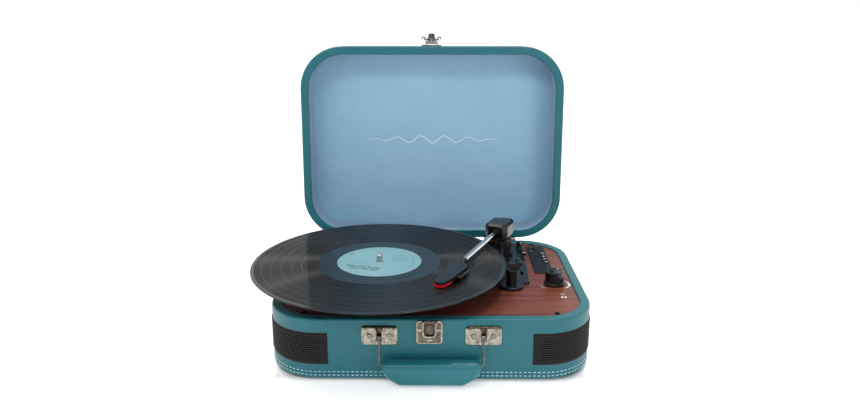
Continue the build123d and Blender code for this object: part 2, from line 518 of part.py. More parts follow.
# keeper: a raised U with an open mouth at the top
UT = LZ1 - 0.25
uo = Pos(0, UT - 10.0) * RectangleRounded(15.8, 18.0, 5.6) + Pos(0, UT - 5.5) * Rectangle(15.8, 11.0)
uo -= Pos(0, UT - 7.6) * RectangleRounded(11.2, 17.0, 4.0) + Pos(0, UT - 2.0) * Rectangle(11.2, 9.0)
u = Pos(LCX, F - 0.6, 0) * Rot(90, 0, 0) * extrude(uo, 3.6)
u = try_chamfer(u, u.faces().sort_by(Axis.Y)[0].edges(), 0.5)
lt += u
tongue = plate_xz(9.6, 11.4, 3.2, 1.6, LCX, UT - 9.6, F - 0.8)
tongue = try_chamfer(tongue, tongue.faces().sort_by(Axis.Y)[0].edges(), 0.4)
lt += tongue
lt += plate_xz(7.4, 2.4, 1.0, 1.5, LCX, LZ0 + 3.9, F - 0.7)
for dx in (-10.1, 10.1):
    q = Pos(LCX + dx, F - 0.9, LZ1 - 10.4) * Rot(90, 0, 0) * Cylinder(1.9, 1.6, align=(Align.CENTER, Align.CENTER, Align.MIN))
    lt += q
    lt -= Pos(LCX + dx, F - 1.9, LZ1 - 10.4) * Rot(90, 0, 0) * Cylinder(0.8, 3, align=(Align.CENTER, Align.CENTER, Align.MIN))
parts["latch_plate"] = lt

# ---- handle -------------------------------------------------------------
plates, hscr = [], []
HPZC, HPH, HPW = 51.0, 21.4, 39.0
for sg in (-1, 1):
    cx = HCX + sg * HAN_DX
    p = plate_xz(HPW, HPH, 4.4, 1.6, cx, HPZC, F)
    p = try_fillet(p, p.faces().sort_by(Axis.Y)[0].edges(), 0.9)
    # rolled top edge with a ball at each end
    p += cxx(cx - HPW / 2 + 5, cx + HPW / 2 - 5, F - 1.5, HPZC + HPH / 2 - 1.3, 1.2)
    for e in (-1, 1):
        p += Pos(cx + e * (HPW / 2 - 4.2), F - 1.5, HPZC + HPH / 2 - 2.0) * Sphere(1.9)
    # two lugs and the pin that carries the rod's eye
    for e in (-1, 1):
        lug = bx(cx + e * 2.3, HAX_Y - 2.6, HAX_Z - 4.5, cx + e * 3.7, F - 1.0, HPZC + HPH / 2 - 1.0)
        lug = try_fillet(lug, lug.edges().filter_by(Axis.X).sort_by(Axis.Y)[0:2], 1.5)
        p += lug
    p += cxx(cx - 3, cx + 3, HAX_Y, HAX_Z, 1.0)
    p -= Pos(0, 0, 0) * bx(cx - 60, F, 0, cx + 60, F + 20, 100)
    for e in (-1, 1):
        sxx, szz = cx + e * 10.4, HPZC - 0.6
        h = Pos(sxx, F - 1.6, szz) * Rot(90, 0, 0) * Cylinder(3.0, 1.3, align=(Align.CENTER, Align.CENTER, Align.MIN))
        h = try_fillet(h, h.edges().group_by(Axis.Y)[0], 0.8)
        h += cyy(F - 1.8, F + 7.0, sxx, szz, 1.4)
        h -= phillips(sxx, F - 2.9, szz, 2.3, 1.6, "y")
        hscr.append(h)
        p -= cyy(F - 3, F + 1, sxx, szz, 1.4)
        base -= cyy(F - 1, F + 7.0, sxx, szz, 1.4)
    plates.append(p)
parts["handle_plates"] = group(*plates)
parts["handle_screws"] = group(*hscr)

GRY = F - 0.9 - 9.6        # grip centre line
GR0, GR1 = -0.9, 27.8      # grip bottom and top
GRW = 107.4
rods = []
for sg in (-1, 1):
    cx = HCX + sg * HAN_DX
    p0 = (cx, HAX_Y - 0.9, HAX_Z - 2.0)
    pts = [p0, (cx, HAX_Y - 3.0, 40.0), (cx, GRY, 30.0), (cx, GRY, 22.0), (HCX + sg * (GRW / 2 - 8), GRY, 20.5)]
    path = FilletPolyline(*pts, radius=[8.0, 8.0, 2.5])
    rod = sweep(Plane(origin=pts[0], z_dir=(path % 0)) * Circle(1.15), path=path)
    eye = cxx(cx - 1.7, cx + 1.7, HAX_Y, HAX_Z, 2.5) - cxx(cx - 3, cx + 3, HAX_Y, HAX_Z, 1.06)
    rod = (rod + eye) - cxx(cx - 3, cx + 3, HAX_Y, HAX_Z, 1.06)
    rods.append(rod)
parts["handle_rods"] = group(*rods)
gs = make_face(Polyline((-GRW / 2, GR1), (GRW / 2, GR1), (GRW / 2, 18.0), (GRW / 2 - 6, 7.5), (GRW / 2 - 19, GR0),
                        (-GRW / 2 + 19, GR0), (-GRW / 2 + 6, 7.5), (-GRW / 2, 18.0), close=True))
gs = fillet(gs.vertices(), 4.5)
grip = Pos(HCX, GRY + 9.6, 0) * extrude(Plane.XZ * gs, 19.2)
grip = try_fillet(grip, grip.faces().sort_by(Axis.Y)[0].edges(), 6.5)
grip = try_fillet(grip, grip.faces().sort_by(Axis.Y)[-1].edges(), 6.5)
for r_ in rods:
    grip -= r_
parts["handle_grip"] = grip

# ---- lid, drawn shut and then turned open -------------------------------
LZB = H + LID_GAP
LZT = LZB + LID_H
lidm = Pos(0, HY, HZ) * Rot(-LID_OPEN, 0, 0) * Pos(0, -HY, -HZ)
ld = rr(W, L, RC, LZB, LZT)
ld = try_fillet(ld, ld.edges().group_by(Axis.Z)[-1], 5.0)
ld = try_fillet(ld, ld.edges().group_by(Axis.Z)[0], 2.2)
ld -= rr(W - 2 * TW, L - 2 * TW, RC - TW, LZB + 2.0, LZT - LID_TOP)
ld -= rr(W - 2 * TR, L - 2 * TR, RC - TR, LZB - 1, LZB + 3)
ld = try_fillet(ld, [e for e in ld.edges().group_by(Axis.Z)[0]
                     if abs(e.center().X) < W / 2 - TR + 0.5 and abs(e.center().Y) < L / 2 - TR + 0.5
                     and e.bounding_box().size.X < W - 2 * TR + 1 and e.bounding_box().size.Y < L - 2 * TR + 1], 1.5)
parts["lid_shell"] = lidm * ld
LT = 0.9
ln = rr(W - 2 * TW, L - 2 * TW, RC - TW, LZB + 2.0, LZT - LID_TOP)
ln -= rr(W - 2 * TW - 2 * LT, L - 2 * TW - 2 * LT, RC - TW - LT, LZB, LZT - LID_TOP - LT)
parts["lid_lining"] = lidm * ln

# hinges: three knuckles each, pin fixed in the base leaf
bl, llv, pins = [], [], []
KR, PR = 2.0, 1.0
for x in (-HINGE_X, HINGE_X):
    leaf = bx(x - 22, L / 2, HZ - 16, x + 22, L / 2 + 1.1, HZ - 2.3)
    leaf += bx(x - 22, L / 2, HZ - 2.5, x + 22, L / 2 + 1.1, HZ - 1.1)
    leaf += bx(x - 22, L / 2, HZ - 1.2, x - 15.5, HY + 6.0, HZ + 0.3) + bx(x + 15.5, L / 2, HZ - 1.2, x + 22, HY + 6.0, HZ + 0.3)
    for (k0, k1) in ((-15, -5.2), (5.2, 15)):
        leaf += cxx(x + k0, x + k1, HY, HZ, KR)
        leaf += bx(x + k0, L / 2, HZ - 2.4, x + k1, HY - 0.6, HZ)
    leaf -= bx(x - 5.0, L / 2 - 1, HZ - 2.35, x + 5.0, HY + 6, HZ + 3)
    leaf -= cxx(x - 20, x + 20, HY, HZ, PR)
    leaf = leaf - bx(x - 30, L / 2 - 10, 0, x + 30, L / 2, 100)
    bl.append(leaf)
    pins.append(cxx(x - 15.8, x + 15.8, HY, HZ, PR))
    lf2 = bx(x - 22, L / 2, HZ + 2.2, x + 22, L / 2 + 1.1, HZ + 16)
    lf2 += cxx(x - 4.9, x + 4.9, HY, HZ, KR) + bx(x - 4.9, L / 2 + 0.25, HZ, x + 4.9, HY - 0.6, HZ + 2.4)
    lf2 -= cxx(x - 20, x + 20, HY, HZ, PR + 0.06)
    llv.append(lidm * lf2)
parts["hinge_leaves_base"] = group(*bl)
parts["hinge_pins"] = group(*pins)
parts["hinge_leaves_lid"] = group(*llv)

# catch on the lid: plate with two ears, and the hasp that swings on it
CAY, CAZ = F - 5.6, LZB + 8.0            # hasp axis with the lid shut
cpz0, cpz1 = LZB + 3.0, LZB + 21.0
cpl = plate_xz(26.4, cpz1 - cpz0, 2.6, 1.1, LCX, (cpz0 + cpz1) / 2, F)
cpl += plate_xz(26.4, cpz1 - cpz0, 2.6, 1.8, LCX, (cpz0 + cpz1) / 2, F) - plate_xz(23.8, cpz1 - cpz0 - 2.6, 1.6, 3.0, LCX, (cpz0 + cpz1) / 2, F + 0.1)
for e in (-1, 1):
    ear = bx(LCX + e * 6.6, CAY, CAZ - 2.3, LCX + e * 8.0, F - 0.6, CAZ + 4.2)
    ear += bx(LCX + e * 6.6, CAY, CAZ, LCX + e * 8.0, CAY + 0.1, CAZ + 2.3)
    x0_, x1_ = sorted((LCX + e * 6.6, LCX + e * 8.0))
    ear += cxx(x0_, x1_, CAY, CAZ, 2.3)
    cpl += ear
cpl += cxx(LCX - 7.5, LCX + 7.5, CAY, CAZ, 1.0)
cpl -= bx(-40, F, 0, 40, F + 20, 200)
parts["catch_plate"] = lidm * cpl
hp0 = cxx(LCX - 6.1, LCX + 6.1, CAY, CAZ, 2.3)
# hasp body stands straight out from the lid's front wall at rest
body = make_face(Polyline((LCX - 6.1, 0.0), (LCX - 6.1, 4.4), (LCX - 4.6, 5.6), (LCX - 3.8, 10.6), (LCX - 2.8, 11.2), (LCX + 2.8, 11.2),
                          (LCX + 3.8, 10.6), (LCX + 4.6, 5.6), (LCX + 6.1, 4.4), (LCX + 6.1, 0.0), close=True))
body = Pos(0, CAY, CAZ - 0.9) * Rot(180, 0, 0) * extrude(body, 1.8)
body = Pos(0, 0, 1.8) * body
hsp = hp0 + (body - bx(-40, CAY, CAZ - 5, 40, CAY + 40, CAZ + 5))
for e in (-1, 1):
    cc = (LCX + e * 10.5, CAY - 4.6, CAZ)
    curl = Pos(*cc) * (Cylinder(2.7, 1.8) - Cylinder(1.25, 3))
    notch = Pos(cc[0] + e * 0.9, cc[1] + 2.4, cc[2]) * Box(2.2, 3.0, 4)
    curl -= notch
    arm_ = Pos(LCX + e * 7.0, CAY - 3.6, CAZ) * Box(3.4, 1.6, 1.8)
    hsp += curl + arm_
hsp += Pos(LCX, CAY - 3.0, CAZ - 0.9) * Sphere(2.6)
hsp -= cxx(LCX - 10, LCX + 10, CAY, CAZ, 1.06)
parts["catch_hasp"] = lidm * hsp

parts["base_shell"] = base

# ---- shift to the part's own frame and write ----------------------------
os.makedirs("parts", exist_ok=True)
lo = [1e9] * 3
hi = [-1e9] * 3
for nm, s in parts.items():
    s = Pos(*SHIFT) * s
    sol = list(s.solids())
    vol = sum(q.volume for q in sol)
    out = sol[0] if len(sol) == 1 else Compound(children=sol)
    b = out.bounding_box()
    for i, (p, q) in enumerate(((b.min.X, b.max.X), (b.min.Y, b.max.Y), (b.min.Z, b.max.Z))):
        lo[i] = min(lo[i], p)
        hi[i] = max(hi[i], q)
    export_step(out, "parts/%s.step" % nm)
    print("%-22s solids %2d vol %10.1f" % (nm, len(sol), vol))
print(len(parts), "nodes; box", [round(v, 3) for v in lo], [round(v, 3) for v in hi])
print("middle", round((lo[0] + hi[0]) / 2, 3), round((lo[1] + hi[1]) / 2, 3))
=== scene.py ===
import json
import math

import bmesh
import bpy
from mathutils import Matrix, Vector


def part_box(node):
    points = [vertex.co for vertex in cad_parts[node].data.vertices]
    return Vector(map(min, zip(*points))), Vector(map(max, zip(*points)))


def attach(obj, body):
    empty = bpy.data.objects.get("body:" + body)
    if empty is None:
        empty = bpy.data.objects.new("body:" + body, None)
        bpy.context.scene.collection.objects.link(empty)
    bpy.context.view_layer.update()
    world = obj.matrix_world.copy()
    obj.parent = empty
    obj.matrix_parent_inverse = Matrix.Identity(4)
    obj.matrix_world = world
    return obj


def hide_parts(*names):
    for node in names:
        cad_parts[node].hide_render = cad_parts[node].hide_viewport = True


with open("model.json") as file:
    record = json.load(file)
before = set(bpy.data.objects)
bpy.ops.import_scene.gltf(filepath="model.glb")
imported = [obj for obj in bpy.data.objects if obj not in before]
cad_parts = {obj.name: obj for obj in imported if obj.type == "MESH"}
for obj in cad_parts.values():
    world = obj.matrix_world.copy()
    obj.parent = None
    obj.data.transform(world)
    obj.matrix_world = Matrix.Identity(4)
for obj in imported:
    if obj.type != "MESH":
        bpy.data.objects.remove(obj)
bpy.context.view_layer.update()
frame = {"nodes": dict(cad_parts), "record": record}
NODES = frame["nodes"]

lo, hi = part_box("base_shell")
OX, OY, OZ = (lo[0] + hi[0]) / 2, (lo[1] + hi[1]) / 2, lo[2]
MM = 0.001


def P(x, y, z):
    """Millimetres from the middle of the case, up from its underside."""
    return Vector((OX + x * MM, OY + y * MM, OZ + z * MM))


# ------------------------------------------------------------------ materials
def lin(r, g, b):
    out = []
    for v in (r, g, b):
        v /= 255.0
        out.append(v / 12.92 if v <= 0.04045 else ((v + 0.055) / 1.055) ** 2.4)
    return (*out, 1.0)


class Mat:
    def __init__(self, name, **inputs):
        self.m = bpy.data.materials.new(name)
        self.m.use_nodes = True
        self.t = self.m.node_tree
        self.t.nodes.clear()
        out = self.t.nodes.new("ShaderNodeOutputMaterial")
        self.p = self.t.nodes.new("ShaderNodeBsdfPrincipled")
        self.t.links.new(self.p.outputs[0], out.inputs[0])
        for k, v in inputs.items():
            self.p.inputs[k.replace("_", " ")].default_value = v
        self.co = self.t.nodes.new("ShaderNodeTexCoord").outputs["Object"]

    def node(self, kind, ins=None, **attrs):
        n = self.t.nodes.new("ShaderNode" + kind)
        for k, v in attrs.items():
            setattr(n, k, v)
        for k, v in (ins or {}).items():
            if isinstance(v, bpy.types.NodeSocket):
                self.t.links.new(v, n.inputs[k])
            else:
                n.inputs[k].default_value = v
        return n

    def scaled(self, x, y, z, vec=None, loc=(0, 0, 0), rot=(0, 0, 0)):
        n = self.node("Mapping", {"Vector": vec or self.co})
        n.inputs["Scale"].default_value = (x, y, z)
        n.inputs["Location"].default_value = loc
        n.inputs["Rotation"].default_value = rot
        return n.outputs[0]

    def noise(self, scale, detail=3.0, rough=0.55, vec=None, distort=0.0):
        return self.node(
            "TexNoise",
            {"Vector": vec or self.co, "Scale": scale, "Detail": detail, "Roughness": rough, "Distortion": distort},
        ).outputs[0]

    def voronoi(self, scale, vec=None, feature="F1", smooth=None):
        n = self.node("TexVoronoi", {"Vector": vec or self.co, "Scale": scale}, feature=feature)
        return n.outputs["Distance"]

    def ramp(self, fac, *stops):
        n = self.node("ValToRGB", {"Fac": fac})
        e = n.color_ramp.elements
        while len(e) < len(stops):
            e.new(0.5)
        for el, (pos, col) in zip(e, stops):
            el.position = pos
            el.color = col if len(col) == 4 else (*col, 1)
        return n.outputs[0]

    def mix(self, fac, a, b, kind="MIX"):
        return self.node("MixRGB", {"Fac": fac, "Color1": a, "Color2": b}, blend_type=kind).outputs[0]

    def math(self, op, a, b=0.0, c=None, clamp=False):
        ins = {0: a, 1: b}
        if c is not None:
            ins[2] = c
        return self.node("Math", ins, operation=op, use_clamp=clamp).outputs[0]

    def vmath(self, op, a, b=(0, 0, 0)):
        n = self.node("VectorMath", {0: a, 1: b}, operation=op)
        return n.outputs["Value"] if op in ("LENGTH", "DOT_PRODUCT", "DISTANCE") else n.outputs[0]

    def span(self, v, a, b, out0=0.0, out1=1.0):
        return self.node("MapRange", {"Value": v, "From Min": a, "From Max": b, "To Min": out0, "To Max": out1}).outputs[0]

    def bump(self, height, strength, distance, normal=None):
        ins = {"Height": height, "Strength": strength, "Distance": distance}
        if normal is not None:
            ins["Normal"] = normal
        return self.node("Bump", ins).outputs[0]

    def to(self, name, sock):
        self.t.links.new(sock, self.p.inputs[name])
        return self


def grain_leather(name, dark, mid, light, rough=(0.42, 0.6), bump=0.35):
    k = Mat(name)
    k.p.inputs["Specular IOR Level"].default_value = 0.38
    k.p.inputs["Sheen Weight"].default_value = 0.05
    k.p.inputs["Sheen Roughness"].default_value = 0.5
    pebble = k.voronoi(950.0)
    fine = k.noise(1900.0, 3.0)
    broad = k.noise(14.0, 4.0)
    tint = k.math("MULTIPLY_ADD", k.noise(700.0, 4.0, 0.6), 0.7, k.math("MULTIPLY", broad, 0.3))
    k.to("Base Color", k.ramp(tint, (0.3, dark), (0.5, mid), (0.72, light)))
    k.to("Roughness", k.span(k.math("ADD", pebble, k.math("MULTIPLY", broad, 0.5)), 0.2, 1.1, *rough))
    h = k.math("ADD", k.math("MULTIPLY", pebble, 0.8), k.math("MULTIPLY", fine, 0.45))
    k.to("Normal", k.bump(h, bump, 0.00035))
    return k.m


def moulded(name, dark, light, rough=(0.32, 0.5), grain=1400.0, bump=0.15, depth=0.0001, spec=0.5, coat=0.0):
    k = Mat(name)
    k.p.inputs["Specular IOR Level"].default_value = spec
    k.p.inputs["Coat Weight"].default_value = coat
    k.p.inputs["Coat Roughness"].default_value = 0.12
    a = k.noise(grain, 3.0, 0.6)
    b = k.noise(55.0, 4.0, 0.6)
    k.to("Base Color", k.ramp(b, (0.3, dark), (0.7, light)))
    k.to("Roughness", k.span(k.math("ADD", k.math("MULTIPLY", a, 0.5), k.math("MULTIPLY", b, 0.5)), 0.3, 0.7, *rough))
    k.to("Normal", k.bump(a, bump, depth))
    return k.m


def metal(name, base, dark, rough=(0.16, 0.32), brush=(900.0, 40.0, 900.0), bump=0.05):
    k = Mat(name, Metallic=1.0)
    streak = k.noise(1.0, 4.0, 0.6, vec=k.scaled(*brush))
    cloud = k.noise(70.0, 4.0, 0.6)
    k.to("Base Color", k.ramp(k.math("MULTIPLY_ADD", streak, 0.4, k.math("MULTIPLY", cloud, 0.6)), (0.3, dark), (0.62, base)))
    k.to("Roughness", k.span(streak, 0.3, 0.7, *rough))
    k.to("Normal", k.bump(streak, bump, 0.00008))
    return k.m


def plated(name, shade_where):
    """Nickel whose sunk places are rougher and carry painted shade, a darker browner colour; the function passed in
    builds the mask of those places.
    """
    k = Mat(name)
    streak = k.noise(1.0, 4.0, 0.6, vec=k.scaled(900.0, 900.0, 60.0))
    cloud = k.noise(220.0, 5.0, 0.65)
    shade_mask = shade_where(k)
    nickel_colour = k.ramp(k.math("MULTIPLY_ADD", streak, 0.4, k.math("MULTIPLY", cloud, 0.6)), (0.36, lin(80, 75, 66)), (0.58, lin(158, 154, 143)))
    # Painted shade: where the mask is set, the nickel turns darker and browner, standing in for shade in the
    # recesses.
    painted_shade = k.ramp(cloud, (0.35, lin(62, 54, 46)), (0.65, lin(104, 93, 81)))
    k.to("Base Color", k.mix(shade_mask, nickel_colour, painted_shade))
    k.to("Roughness", k.math("MULTIPLY_ADD", shade_mask, 0.18, k.span(streak, 0.3, 0.7, 0.16, 0.28)))
    k.p.inputs["Metallic"].default_value = 1.0
    k.to("Normal", k.bump(cloud, 0.06, 0.0001))
    return k.m


# Painted shade for the latch plate: its back 1.65 mm next to the case (at 0.8) and a 10.6 mm wide band down the upper
# 16 mm of its middle get the dark nickel colour.
def latch_shade_mask(k):
    s = k.node("SeparateXYZ", {"Vector": k.co})
    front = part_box("latch_plate")[0][1]
    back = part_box("latch_plate")[1][1]
    deep = k.math("GREATER_THAN", s.outputs[1], back - 0.00165)
    mid = (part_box("latch_plate")[0][0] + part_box("latch_plate")[1][0]) / 2
    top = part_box("latch_plate")[1][2]
    inside = k.math("LESS_THAN", k.math("ABSOLUTE", k.math("SUBTRACT", s.outputs[0], mid)), 0.0053)
    inside = k.math("MULTIPLY", inside, k.math("GREATER_THAN", s.outputs[2], top - 0.0160))
    return k.math("MAXIMUM", k.math("MULTIPLY", deep, 0.8), inside)


# Painted shade for the handle plates: the 6.2 mm wide central channel above 47.5 mm and the rolled top edge above 60
# mm get the dark nickel colour.
def channel_shade_mask(k):
    s = k.node("SeparateXYZ", {"Vector": k.co})
    shade_mask = None
    for side in (-1, 1):
        cx = OX + (1.3 + 55.0 * side) * MM
        near = k.math("LESS_THAN", k.math("ABSOLUTE", k.math("SUBTRACT", s.outputs[0], cx)), 0.0031)
        shade_mask = near if shade_mask is None else k.math("MAXIMUM", shade_mask, near)
    top = k.math("GREATER_THAN", s.outputs[2], OZ + 0.0600)
    return k.math("MAXIMUM", k.math("MULTIPLY", shade_mask, k.math("GREATER_THAN", s.outputs[2], OZ + 0.0475)), top)


LEATHER = grain_leather("leatherette", lin(6, 85, 95), lin(11, 95, 105), lin(21, 106, 116), (0.34, 0.5))
GRIP = grain_leather("leatherette_grip", lin(10, 92, 101), lin(16, 102, 111), lin(26, 113, 122), (0.24, 0.36), 0.3)


def lining():
    k = Mat("lining", Roughness=0.85)
    k.p.inputs["Specular IOR Level"].default_value = 0.2
    k.p.inputs["Sheen Weight"].default_value = 0.25
    k.p.inputs["Sheen Roughness"].default_value = 0.6
    wx = k.node("TexWave", {"Vector": k.co, "Scale": 330.0, "Distortion": 0.6, "Detail": 2.0, "Detail Scale": 2.0}, wave_type="BANDS", bands_direction="X").outputs["Fac"]
    wz = k.node("TexWave", {"Vector": k.co, "Scale": 330.0, "Distortion": 0.6, "Detail": 2.0, "Detail Scale": 2.0}, wave_type="BANDS", bands_direction="Z").outputs["Fac"]
    weave = k.math("MULTIPLY", wx, wz)
    slub = k.math("MULTIPLY", k.math("ADD", k.noise(1.0, 4.0, 0.6, vec=k.scaled(620.0, 200.0, 110.0)), k.noise(1.0, 4.0, 0.6, vec=k.scaled(110.0, 200.0, 620.0))), 0.5)
    cloud = k.noise(20.0, 4.0, 0.6)
    tone = k.math("ADD", k.math("MULTIPLY", slub, 0.45), k.math("MULTIPLY_ADD", cloud, 0.35, k.math("MULTIPLY", weave, 0.2)))
    cloth = k.ramp(tone, (0.25, lin(134, 174, 200)), (0.5, lin(147, 186, 211)), (0.75, lin(160, 197, 220)))
    # Painted shade: the cloth darkens toward lin(62, 96, 122) on all four walls (35%) and most on the wall whose face
    # looks down (up to 90%), where shade falls in the open lid.
    nrm = k.node("SeparateXYZ", {"Vector": k.t.nodes.new("ShaderNodeTexCoord").outputs["Normal"]})
    side = k.span(k.math("ABSOLUTE", nrm.outputs[1]), 0.3, 0.97, 1.0, 0.0)
    over = k.span(nrm.outputs[2], -0.9, -0.2, 1.0, 0.0)
    shadow = k.math("MULTIPLY", side, k.math("MULTIPLY_ADD", over, 0.55, 0.35))
    k.to("Base Color", k.mix(shadow, cloth, lin(62, 96, 122)))
    k.to("Normal", k.bump(k.math("ADD", weave, k.math("MULTIPLY", slub, 0.6)), 0.22, 0.0002))
    return k.m


def wood():
    k = Mat("wood_deck")
    k.p.inputs["Coat Weight"].default_value = 0.05
    k.p.inputs["Coat Roughness"].default_value = 0.3
    k.p.inputs["Specular IOR Level"].default_value = 0.4
    wob = k.node("VectorMath", {0: k.co, 1: k.node("VectorMath", {0: k.node("TexNoise", {"Vector": k.co, "Scale": 9.0, "Detail": 2.0}).outputs[1], 1: (0.0, 0.012, 0.0)}, operation="MULTIPLY").outputs[0]}, operation="ADD").outputs[0]
    bands = k.noise(1.0, 5.0, 0.6, vec=k.scaled(7.0, 150.0, 30.0, vec=wob))
    fibre = k.noise(1.0, 6.0, 0.7, vec=k.scaled(22.0, 900.0, 80.0, vec=wob))
    pores = k.noise(1.0, 2.0, 0.5, vec=k.scaled(120.0, 2600.0, 200.0, vec=wob))
    tone = k.math("ADD", k.math("MULTIPLY", bands, 0.6), k.math("MULTIPLY", fibre, 0.4))
    base = k.ramp(tone, (0.3, lin(55, 21, 14)), (0.44, lin(90, 41, 28)), (0.57, lin(117, 61, 43)), (0.72, lin(80, 34, 23)))
    k.to("Base Color", k.mix(k.span(pores, 0.6, 0.75, 0.0, 0.55), base, lin(48, 22, 19)))
    k.to("Roughness", k.span(fibre, 0.3, 0.7, 0.34, 0.5))
    k.to("Normal", k.bump(k.math("ADD", fibre, pores), 0.12, 0.0001))
    return k.m


def vinyl():
    k = Mat("vinyl")
    k.p.inputs["IOR"].default_value = 1.42
    k.p.inputs["Specular IOR Level"].default_value = 0.42
    k.p.inputs["Anisotropic"].default_value = 1.0
    k.p.inputs["Coat Weight"].default_value = 0.2
    k.p.inputs["Coat IOR"].default_value = 1.4
    k.p.inputs["Coat Roughness"].default_value = 0.03
    k.t.links.new(k.node("Tangent", direction_type="RADIAL", axis="Z").outputs[0], k.p.inputs["Tangent"])
    slo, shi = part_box("spindle")
    cx, cy = (slo[0] + shi[0]) / 2, (slo[1] + shi[1]) / 2
    flat = k.vmath("MULTIPLY", k.vmath("SUBTRACT", k.co, (cx, cy, 0)), (1, 1, 0))
    r = k.vmath("LENGTH", flat)
    rr = k.node("CombineXYZ", {"X": r}).outputs[0]
    lines = k.noise(900.0, 3.0, 0.8, vec=rr)
    tracks = k.noise(120.0, 3.0, 0.6, vec=rr)
    cut = k.math("MULTIPLY", k.math("GREATER_THAN", r, 0.0725), k.math("LESS_THAN", r, 0.1465))
    gap = None
    for g, wd in ((0.0800, 0.0004), (0.0915, 0.0006), (0.1030, 0.0004), (0.1152, 0.0006), (0.1270, 0.0004), (0.1380, 0.0005)):
        one = k.math("COMPARE", r, g, wd)
        gap = one if gap is None else k.math("MAXIMUM", gap, one)
    live = k.math("MULTIPLY", cut, k.math("SUBTRACT", 1.0, k.math("MULTIPLY", gap, 0.55)))
    tone = k.math("ADD", k.math("MULTIPLY", lines, 0.55), k.math("MULTIPLY", tracks, 0.45))
    shade = k.ramp(tone, (0.34, lin(2, 2, 3)), (0.5, lin(8, 8, 9)), (0.66, lin(22, 23, 25)))
    # Painted reflection: the smooth dead wax, lead-in and, partly, the gaps between tracks take a lighter bluish
    # colour, lin(20, 27, 32), standing in for the lid lining's reflection; the grooves take the near-black tone ramp.
    k.to("Base Color", k.mix(live, lin(20, 27, 32), shade))
    k.to("Roughness", k.math("ADD", k.math("MULTIPLY", live, k.span(tone, 0.35, 0.65, 0.32, 0.46)), 0.1, clamp=True))
    k.to("Normal", k.bump(k.math("MULTIPLY", tone, live), 0.25, 0.00012))
    return k.m


def label_paper():
    k = Mat("paper_label", Roughness=0.5)
    slo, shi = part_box("spindle")
    cx, cy = (slo[0] + shi[0]) / 2, (slo[1] + shi[1]) / 2
    r = k.vmath("LENGTH", k.vmath("MULTIPLY", k.vmath("SUBTRACT", k.co, (cx, cy, 0)), (1, 1, 0)))
    fibre = k.noise(700.0, 5.0, 0.6)
    cloud = k.noise(30.0, 3.0, 0.5)
    base = k.ramp(k.math("ADD", k.math("MULTIPLY", fibre, 0.35), k.math("MULTIPLY", cloud, 0.65)), (0.3, lin(104, 146, 156)), (0.7, lin(119, 160, 169)))
    ring = k.math("MAXIMUM", k.math("COMPARE", r, 0.0170, 0.0004), k.math("COMPARE", r, 0.0474, 0.00025))
    k.to("Base Color", k.mix(k.math("MULTIPLY", ring, 0.45), base, lin(84, 132, 142)))
    k.to("Roughness", k.span(fibre, 0.3, 0.7, 0.38, 0.55))
    emboss = k.math("COMPARE", r, 0.0355, 0.0006)
    k.to("Normal", k.bump(k.math("ADD", k.math("MULTIPLY", fibre, 0.2), emboss), 0.15, 0.0001))
    return k.m


def felt():
    k = Mat("felt", Roughness=0.95)
    k.p.inputs["Sheen Weight"].default_value = 0.4
    f = k.noise(1500.0, 5.0, 0.7)
    k.to("Base Color", k.ramp(f, (0.3, lin(20, 21, 23)), (0.7, lin(44, 45, 48))))
    k.to("Normal", k.bump(f, 0.5, 0.0003))
    return k.m


